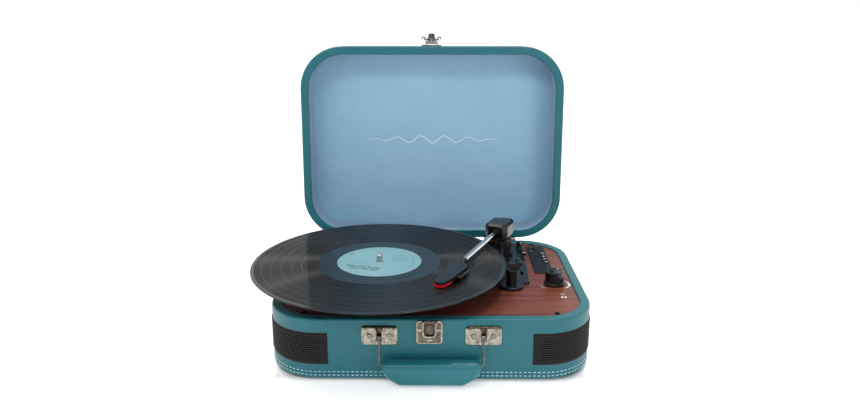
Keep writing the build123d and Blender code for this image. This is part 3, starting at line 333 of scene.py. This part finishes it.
MATS = {
    "leatherette": LEATHER,
    "latch_nickel": plated("latch_nickel", latch_shade_mask),
    "plate_nickel": plated("plate_nickel", channel_shade_mask),
    "catch_nickel": metal("catch_nickel", lin(148, 143, 134), lin(62, 58, 53), (0.16, 0.34), (500.0, 500.0, 500.0)),
    "lining": lining(),
    "wood_deck": wood(),
    "board": moulded("board", lin(38, 34, 31), lin(56, 50, 45), (0.7, 0.9), 700.0, 0.3, 0.0002),
    "black_plastic": moulded("black_plastic", lin(7, 7, 9), lin(14, 14, 17), (0.16, 0.28)),
    "dark_plastic": moulded("dark_plastic", lin(11, 12, 14), lin(20, 21, 24), (0.2, 0.32)),
    "charcoal_plastic": moulded("charcoal_plastic", lin(25, 23, 25), lin(33, 31, 33), (0.6, 0.75), 1100.0, 0.3, spec=0.22),
    "black_screw": metal("black_screw", lin(34, 33, 33), lin(16, 16, 16), (0.3, 0.45), (500.0, 500.0, 500.0)),
    "screw_nickel": metal("screw_nickel", lin(150, 144, 134), lin(84, 79, 72), (0.16, 0.3), (500.0, 500.0, 500.0)),
    "wire_dark": metal("wire_dark", lin(96, 95, 94), lin(58, 57, 57), (0.22, 0.36), (500.0, 500.0, 500.0)),
    "panel_black": moulded("panel_black", lin(8, 9, 11), lin(15, 16, 19), (0.34, 0.46), 900.0, 0.2, spec=0.25),
    "gloss_black": moulded("gloss_black", lin(10, 10, 12), lin(18, 18, 20), (0.1, 0.2), 400.0, 0.03, coat=0.5),
    "vinyl": vinyl(),
    "paper_label": label_paper(),
    "felt": felt(),
    "rubber": moulded("rubber", lin(22, 22, 23), lin(36, 36, 37), (0.6, 0.8), 900.0, 0.35),
    "nickel": metal("nickel", lin(226, 219, 205), lin(186, 178, 163), (0.14, 0.28)),
    "polished_tube": metal("polished_tube", lin(232, 230, 226), lin(206, 204, 200), (0.07, 0.16), (1400.0, 1400.0, 60.0), 0.02),
    "dark_steel": metal("dark_steel", lin(118, 118, 118), lin(84, 84, 85), (0.2, 0.34)),
    "steel": metal("steel", lin(200, 199, 196), lin(160, 159, 157), (0.16, 0.3)),
    "brass": metal("brass", lin(205, 168, 92), lin(160, 124, 62), (0.2, 0.36)),
    "red_plastic": moulded("red_plastic", lin(176, 10, 28), lin(214, 22, 42), (0.22, 0.36), 500.0, 0.06),
    "pcb": moulded("pcb", lin(18, 66, 38), lin(28, 92, 52), (0.35, 0.5), 300.0, 0.1),
    "speaker_black": moulded("speaker_black", lin(17, 17, 18), lin(30, 30, 31), (0.55, 0.75), 800.0, 0.4),
}
SLOT_OF = {s["node"]: s["material_slot"] for s in frame["record"]["subparts"]}
SLOT_OF["latch_plate"] = "latch_nickel"
SLOT_OF["handle_plates"] = "plate_nickel"
SLOT_OF["catch_plate"] = SLOT_OF["catch_hasp"] = "catch_nickel"
SLOT_OF["deck_screws"] = "black_screw"
SLOT_OF["arm_clip"] = SLOT_OF["finger_lift"] = "wire_dark"
SLOT_OF["handle_screws"] = "screw_nickel"
SLOT_OF["control_panel"] = "panel_black"

for name, ob in NODES.items():
    m = MATS[SLOT_OF[name]]
    if not ob.material_slots:
        ob.data.materials.append(m)
    for s in ob.material_slots:
        s.material = m

THREAD = moulded("thread", lin(168, 202, 210), lin(196, 224, 230), (0.6, 0.8), 3000.0, 0.4)
INK_WHITE = moulded("ink_white", lin(196, 200, 202), lin(226, 228, 230), (0.5, 0.6), 800.0, 0.05)
INK_PALE = moulded("ink_pale", lin(196, 216, 226), lin(214, 230, 238), (0.55, 0.7), 800.0, 0.05)
INK_DARK = moulded("ink_dark", lin(52, 92, 100), lin(70, 112, 120), (0.5, 0.6), 800.0, 0.05)
HOLE_BLACK = moulded("hole_black", lin(6, 6, 7), lin(10, 10, 11), (0.6, 0.8), 800.0, 0.05)


# --------------------------------------------------------------------- helpers
def add_piece(name, verts, faces, material, body, smooth=True):
    me = bpy.data.meshes.new(name)
    me.from_pydata([tuple(v) for v in verts], [], faces)
    me.update()
    if smooth:
        me.polygons.foreach_set("use_smooth", [True] * len(me.polygons))
    me.materials.append(material)
    ob = bpy.data.objects.new(name, me)
    bpy.context.scene.collection.objects.link(ob)
    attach(ob, body)
    return ob


def hit(node, origin, direction):
    ok, p, n, _ = NODES[node].ray_cast(origin, Vector(direction).normalized())
    return (p, n) if ok else (None, None)


def prism_on(pts, normal, up, thick, verts, faces):
    """A closed thin slab from an outline already in place."""
    base = len(verts)
    k = len(pts)
    verts += [p - up * 0.00002 for p in pts] + [p + up * thick for p in pts]
    faces.append([base + i for i in range(k)][::-1])
    faces.append([base + k + i for i in range(k)])
    for i in range(k):
        j = (i + 1) % k
        faces.append([base + i, base + j, base + k + j, base + k + i])


def ribbon(points, up, width, thick, verts, faces):
    """A closed strip of even width along points lying on a surface with normal up."""
    k = len(points)
    base = len(verts)
    for i, p in enumerate(points):
        a = points[max(0, i - 1)]
        b = points[min(k - 1, i + 1)]
        d = (b - a).normalized()
        s = up.cross(d).normalized() * (width[i] / 2 if isinstance(width, (list, tuple)) else width / 2)
        low = p - up * 0.00002
        top = p + up * thick
        verts += [low - s, low + s, top + s, top - s]
    for i in range(k - 1):
        q = base + 4 * i
        for a, b in ((0, 1), (1, 2), (2, 3), (3, 0)):
            faces.append([q + a, q + 4 + a, q + 4 + b, q + b])
    faces.append([base + 3, base + 2, base + 1, base])
    q = base + 4 * (k - 1)
    faces.append([q, q + 1, q + 2, q + 3])


def stitches(name, path, length, pitch, radius, body, material=THREAD):
    """path: list of (point, normal); lays short domed threads along it."""
    verts, faces = [], []
    total, cum = 0.0, [0.0]
    for (a, _), (b, _) in zip(path, path[1:]):
        total += (b - a).length
        cum.append(total)
    count = int(total // pitch)
    seg = 0

    def at(d):
        nonlocal seg
        while seg + 1 < len(cum) - 1 and cum[seg + 1] < d:
            seg += 1
        while seg > 0 and cum[seg] > d:
            seg -= 1
        t = (d - cum[seg]) / max(cum[seg + 1] - cum[seg], 1e-9)
        return path[seg][0].lerp(path[seg + 1][0], t), path[seg][1].lerp(path[seg + 1][1], t).normalized()

    prof = ((-1.0, 0.3, -0.9), (-0.8, 0.8, -0.2), (-0.35, 1.0, 0.25), (0.35, 1.0, 0.25), (0.8, 0.8, -0.2), (1.0, 0.3, -0.9))
    for i in range(count):
        d0 = (i + 0.5) * pitch
        base = len(verts)
        for t, w, lift in prof:
            d = min(max(d0 + t * length / 2, 0.0), total)
            p, n = at(d)
            e0, _ = at(max(d - 0.0004, 0.0))
            e1, _ = at(min(d + 0.0004, total))
            tan = (e1 - e0).normalized()
            side = tan.cross(n).normalized()
            c = p + n * radius * lift
            for j in range(6):
                a = math.radians(60 * j)
                verts.append(c + side * math.cos(a) * radius * w + n * math.sin(a) * radius * w)
        for r in range(len(prof) - 1):
            for j in range(6):
                a, b = base + r * 6 + j, base + r * 6 + (j + 1) % 6
                faces.append([a, b, b + 6, a + 6])
        faces.append([base + j for j in range(6)][::-1])
        e = base + (len(prof) - 1) * 6
        faces.append([e + j for j in range(6)])
    ob = add_piece(name, verts, faces, material, body)
    bm = bmesh.new()
    bm.from_mesh(ob.data)
    bmesh.ops.recalc_face_normals(bm, faces=bm.faces)
    bm.to_mesh(ob.data)
    bm.free()
    return ob


def loop_around(node, centre, axis, half_a, half_b, radius, step=0.004):
    """Points and normals where rays from outside meet a node, round a rounded rectangle. axis=(u, v) unit vectors of its plane."""
    u, v = axis
    out = []
    ia, ib = half_a - radius, half_b - radius
    runs = []
    for (sx, sy), a0 in (((1, 1), 0), ((-1, 1), 90), ((-1, -1), 180), ((1, -1), 270)):
        for k in range(17):
            a = math.radians(a0 + 90 * k / 16)
            runs.append((sx * ia + math.cos(a) * radius, sy * ib + math.sin(a) * radius, math.cos(a), math.sin(a)))
    runs.append(runs[0])
    for (x0, y0, nx0, ny0), (x1, y1, nx1, ny1) in zip(runs, runs[1:]):
        n = max(1, int(math.hypot(x1 - x0, y1 - y0) / step))
        for i in range(n):
            t = i / n
            x, y = x0 + (x1 - x0) * t, y0 + (y1 - y0) * t
            d = (u * (nx0 + (nx1 - nx0) * t) + v * (ny0 + (ny1 - ny0) * t)).normalized()
            q = centre + u * x + v * y
            p, nn = hit(node, q + d * 0.03, -d)
            if p is None or (p - q).length > 0.008:
                p, nn = q, d
            out.append((p, d))
    out.append(out[0])
    return out


X, Y, Z = Vector((1, 0, 0)), Vector((0, 1, 0)), Vector((0, 0, 1))
HW, HL, RC = (hi[0] - lo[0]) / 2, (hi[1] - lo[1]) / 2, 0.0574

# --------------------------------------------------------- stitching on the case
for row, z in (("lower", 4.1), ("upper", 8.2)):
    path = loop_around("base_shell", P(0, 0, z), (X, Y), HW, HL, RC)
    stitches("base_stitching_" + row, path, 0.0035, 0.0050, 0.00046, "case")

# the lid's own plane, as it stands open
TILT = math.radians(-92.8)
HINGE = P(0, 134.0, 69.4)
TURN = Matrix.Rotation(TILT, 3, "X")


def lid_pt(x, y, z):
    """A point given with the lid shut, where it is with the lid open."""
    return TURN @ (P(x, y, z) - HINGE) + HINGE


lid_u, lid_v = TURN @ X, TURN @ Y
for row, z in (("lower", 116.9), ("upper", 121.0)):
    path = loop_around("lid_shell", lid_pt(0, 0, z), (lid_u, lid_v), HW, HL, RC)
    stitches("lid_stitching_" + row, [(p - d * 0.00032, d) for p, d in path], 0.0035, 0.0050, 0.00046, "lid")


# ----------------------------------------------------------------- handle grip
def build_grip():
    src = NODES["handle_grip"]
    glo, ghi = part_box("handle_grip")
    c = Vector([(a + b) / 2 for a, b in zip(glo, ghi)])
    me = src.data.copy()
    ob = bpy.data.objects.new("grip_pad", me)
    bpy.context.scene.collection.objects.link(ob)
    keep = Vector((0.985, 0.90, 0.94))
    for v in me.vertices:
        d = v.co - c
        v.co = c + Vector((d.x * keep.x, d.y * keep.y, d.z * keep.z))
    me.materials.clear()
    me.materials.append(GRIP)
    bm = bmesh.new()
    bm.from_mesh(me)
    bmesh.ops.remove_doubles(bm, verts=bm.verts, dist=1e-6)
    bm.to_mesh(me)
    bm.free()
    with bpy.context.temp_override(object=ob, active_object=ob, selected_objects=[ob]):
        m = ob.modifiers.new("remesh", "REMESH")
        m.mode = "VOXEL"
        m.voxel_size = 0.0020
        m.use_smooth_shade = True
        bpy.ops.object.modifier_apply(modifier="remesh")
        m = ob.modifiers.new("soft", "SMOOTH")
        m.factor, m.iterations = 0.5, 4
        bpy.ops.object.modifier_apply(modifier="soft")
    start = [v.co.copy() for v in ob.data.vertices]
    cl = ob.modifiers.new("puff", "CLOTH")
    s = cl.settings
    s.quality = 5
    s.mass = 0.3
    s.tension_stiffness = s.compression_stiffness = 40
    s.bending_stiffness = 6
    s.use_pressure = True
    s.uniform_pressure_force = 4
    s.effector_weights.gravity = 0
    cl.point_cache.frame_start, cl.point_cache.frame_end = 1, 20
    scn = bpy.context.scene
    for f in range(1, 21):
        scn.frame_set(f)
    dg = bpy.context.evaluated_depsgraph_get()
    ev = ob.evaluated_get(dg)
    puffed = [v.co.copy() for v in ev.data.vertices]
    scn.frame_set(1)
    ob.modifiers.remove(cl)
    for v, a, b in zip(ob.data.vertices, start, puffed):
        d = b - a
        cap = 0.0009
        v.co = a + (d * (cap / d.length) if d.length > cap else d)
    with bpy.context.temp_override(object=ob, active_object=ob, selected_objects=[ob]):
        m = ob.modifiers.new("relax", "SMOOTH")
        m.factor, m.iterations = 0.5, 3
        bpy.ops.object.modifier_apply(modifier="relax")
        m = ob.modifiers.new("fine", "SUBSURF")
        m.levels = m.render_levels = 1
        bpy.ops.object.modifier_apply(modifier="fine")
    ob.data.polygons.foreach_set("use_smooth", [True] * len(ob.data.polygons))
    # stays clear of the case behind it and inside its own space
    for v in ob.data.vertices:
        v.co.y = min(v.co.y, ghi[1] - 0.0002)
    ob.data.update()
    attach(ob, "handle")
    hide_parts("handle_grip")
    return ob


grip = build_grip()


# ------------------------------------------------------------- printed marks
def ink(name, outlines, node, material, body, up=Z, thick=0.00006):
    """outlines: lists of case points (x, y); each is dropped on the node from above."""
    verts, faces = [], []
    for kind, pts, width in outlines:
        placed = []
        for x, y in pts:
            p, _ = hit(node, P(x, y, 160), (0, 0, -1))
            if p is None:
                break
            placed.append(p)
        if len(placed) != len(pts):
            continue
        level = max(p.z for p in placed)
        placed = [Vector((p.x, p.y, level)) for p in placed]
        if kind == "line":
            ribbon(placed, up, width, thick, verts, faces)
        else:
            prism_on(placed, up, up, thick, verts, faces)
    ob = add_piece(name, verts, faces, material, body, smooth=False)
    bm = bmesh.new()
    bm.from_mesh(ob.data)
    bmesh.ops.recalc_face_normals(bm, faces=bm.faces)
    bm.to_mesh(ob.data)
    bm.free()
    return ob


def arc(cx, cy, r, a0, a1, n=16):
    return [(cx + r * math.cos(math.radians(a0 + (a1 - a0) * i / n)), cy + r * math.sin(math.radians(a0 + (a1 - a0) * i / n))) for i in range(n + 1)]


KX, KY = 146.3, -26.5
n = 30
crescent = []
A0, A1 = -52.0, 33.0
for i in range(n + 1):
    t = i / n
    a = math.radians(A0 + (A1 - A0) * t)
    crescent.append((KX + (16.6 + 2.7 * math.sin(math.pi * t) ** 0.8) * math.cos(a), KY + (16.6 + 2.7 * math.sin(math.pi * t) ** 0.8) * math.sin(a)))
for i in range(n, -1, -1):
    t = i / n
    a = math.radians(A0 + (A1 - A0) * t)
    crescent.append((KX + (16.4 + 0.1 * math.sin(math.pi * t)) * math.cos(a), KY + (16.4 + 0.1 * math.sin(math.pi * t)) * math.sin(a)))
HX, HYY = 151.3, -62.0
ink(
    "deck_marks",
    [
        ("fill", crescent, 0),
        ("line", arc(KX, KY, 17.6, 198, 226, 10), 0.0006),
        ("line", [(HX + 1.9 * math.cos(math.radians(q)), HYY + 1.2 + 4.2 * math.sin(math.radians(q))) for q in range(10, 171, 16)], 0.0007),
        ("fill", [(HX - 2.9, HYY - 6.6), (HX - 1.0, HYY - 6.6), (HX - 1.0, HYY - 2.2), (HX - 2.9, HYY - 2.2)], 0),
        ("fill", [(HX + 1.0, HYY - 6.6), (HX + 2.9, HYY - 6.6), (HX + 2.9, HYY - 2.2), (HX + 1.0, HYY - 2.2)], 0),
    ],
    "deck_plate",
    INK_WHITE,
    "case",
)
for i in range(1, 5):
    blo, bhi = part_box("panel_button_%d" % i)
    bx = ((blo[0] + bhi[0]) / 2 - OX) / MM
    by = ((blo[1] + bhi[1]) / 2 - OY) / MM
    ink(
        "button_mark_%d" % i,
        [
            [("line", arc(bx, by, 1.2, 0, 324, 10), 0.0006)],
            [("fill", [(bx - 1.3, by - 1.5), (bx + 1.5, by), (bx - 1.3, by + 1.5)], 0)],
            [("fill", [(bx - 1.5, by - 1.4), (bx + 0.6, by), (bx - 1.5, by + 1.4)], 0), ("line", [(bx + 1.2, by - 1.4), (bx + 1.2, by + 1.4)], 0.0006)],
            [("fill", [(bx + 1.5, by - 1.4), (bx - 0.6, by), (bx + 1.5, by + 1.4)], 0), ("line", [(bx - 1.2, by - 1.4), (bx - 1.2, by + 1.4)], 0.0006)],
        ][i - 1],
        "panel_button_%d" % i,
        INK_WHITE,
        "panel_button_%d" % i,
    )
marks = [
    ("line", [(132.6, 88.2), (135.4, 88.2)], 0.0008),
    ("line", arc(134.9, 103.6, 1.3, 20, 160, 8), 0.0007),
]
ink("panel_marks", marks, "control_panel", INK_WHITE, "case")

# plain bars and an arc stand where the label carries words
SX, SY = -61.5, -20.0


def turned(x, y, a=-14.0):
    c, s = math.cos(math.radians(a)), math.sin(math.radians(a))
    return (SX + x * c - y * s, SY + x * s + y * c)


bars = []
for y, spans in ((-22.5, ((-33, -22), (-20, -9), (-7, -2), (0, 9))), (-29.0, ((-27, -15), (-13, -4), (-2, 8)))):
    for a, b in spans:
        bars.append(("line", [turned(a, y), turned(b, y)], 0.0034))
for y, a, b in ((24.0, 6, 24), (16.0, 12, 36), (9.5, 12, 40)):
    bars.append(("line", [turned(a, y), turned(b, y)], 0.0009))
bars.append(("line", arc(SX, SY, 41.5, -38, 30, 24), 0.0006))
bars.append(("line", [turned(-42, 14), turned(-38, 14)], 0.0016))
ink("label_bars", bars, "record_label", INK_DARK, "platter")

# a plain wavy rule in the middle of the lid, where the lining carries a printed phrase
wave_v, wave_f = [], []
wave = []
widths = []
N_W = 90
for i in range(N_W + 1):
    t = i / N_W
    x = -93 + 187 * t
    z = 201.0 + 5.2 * math.sin(t * math.pi * 11) * math.sin(math.pi * t)
    p, _ = hit("lid_lining", P(x, 60, z), (0, 1, 0))
    if p is None:
        continue
    wave.append(p)
    widths.append(0.0013 * (0.45 + 0.65 * math.sin(math.pi * t)))
ribbon(wave, -Y, widths, 0.00008, wave_v, wave_f)
w = add_piece("lining_rule", wave_v, wave_f, INK_PALE, "lid", smooth=False)
bm = bmesh.new()
bm.from_mesh(w.data)
bmesh.ops.recalc_face_normals(bm, faces=bm.faces)
bm.to_mesh(w.data)
bm.free()

# ------------------------------------------------------------------- the stage
size = 40.0
me = bpy.data.meshes.new("floor")
me.from_pydata([(-size, -size, 0), (size, -size, 0), (size, size, 0), (-size, size, 0)], [], [(0, 1, 2, 3)])
floor = bpy.data.objects.new("floor", me)
bpy.context.scene.collection.objects.link(floor)
k = Mat("floor", Roughness=0.85)
k.p.inputs["Specular IOR Level"].default_value = 0.1
# Painted light: the floor glows white everywhere outside the case's footprint, fading out just inside its edge, so
# shade shows only under the case.
k.p.inputs["Emission Color"].default_value = (1, 1, 1, 1)
fs = k.node("SeparateXYZ", {"Vector": k.co})
ex = k.math("SUBTRACT", k.math("ABSOLUTE", k.math("SUBTRACT", fs.outputs[0], OX)), 0.172)
ey = k.math("SUBTRACT", k.math("ABSOLUTE", k.math("SUBTRACT", fs.outputs[1], OY)), 0.128)
k.to("Emission Strength", k.span(k.math("MAXIMUM", ex, ey), -0.006, 0.006, 0.0, 0.42))
k.to("Base Color", k.ramp(k.noise(3.0, 2.0), (0.3, (0.86, 0.86, 0.865)), (0.7, (0.88, 0.88, 0.885))))
me.materials.append(k.m)

scene = bpy.context.scene
world = bpy.data.worlds.new("studio")
world.use_nodes = True
wt = world.node_tree
bg = wt.nodes["Background"]
bg.inputs[1].default_value = 1.0
wc = wt.nodes.new("ShaderNodeTexCoord")
ws = wt.nodes.new("ShaderNodeSeparateXYZ")
wr = wt.nodes.new("ShaderNodeValToRGB")
wm = wt.nodes.new("ShaderNodeMapRange")
wm.inputs["From Min"].default_value = -1.0
wm.inputs["From Max"].default_value = 1.0
wt.links.new(wc.outputs["Generated"], ws.inputs[0])
wt.links.new(ws.outputs[1], wm.inputs["Value"])
wt.links.new(wm.outputs[0], wr.inputs["Fac"])
el = wr.color_ramp.elements
el[0].position, el[0].color = 0.18, (0.25, 0.26, 0.27, 1)
el[1].position, el[1].color = 0.60, (1.0, 1.0, 1.0, 1)
wt.links.new(wr.outputs[0], bg.inputs[0])
scene.world = world


def area(name, loc, target, sx, sy, power, colour=(1, 1, 1)):
    d = bpy.data.lights.new(name, "AREA")
    d.shape = "RECTANGLE"
    d.size, d.size_y, d.energy, d.color = sx, sy, power, colour
    o = bpy.data.objects.new(name, d)
    o.location = loc
    o.rotation_euler = (Vector(target) - Vector(loc)).to_track_quat("-Z", "Y").to_euler()
    scene.collection.objects.link(o)
    return o


area("key", (-0.35, -1.45, 1.45), (0, 0, 0.05), 1.3, 0.35, 12.0)
area("top", (0.1, -0.1, 1.7), (0, 0, 0.1), 1.0, 1.0, 2.0)
area("front", (0.9, -1.6, 0.7), (0, 0, 0.1), 0.5, 0.9, 7.0)

area("lamp_a", (-0.61, 0.10, 1.69), (-0.045, -0.035, 0.095), 0.06, 0.06, 9.0, (1.0, 0.88, 0.78))
area("lamp_b", (0.37, 0.13, 1.73), (-0.045, -0.035, 0.095), 0.06, 0.06, 9.0, (1.0, 0.88, 0.78))

cam = bpy.data.cameras.new("camera")
cam.sensor_width = 36.0
cam.lens = 30.479
cam.shift_y = -0.0240
cam.clip_start, cam.clip_end = 0.01, 200
co = bpy.data.objects.new("camera", cam)
co.location = P(6.4101, -838.723, 393.648)
co.rotation_euler = (math.pi / 2 - 0.246899, 0.0, 0.0094)
scene.collection.objects.link(co)
scene.camera = co
scene.view_settings.view_transform = "Standard"
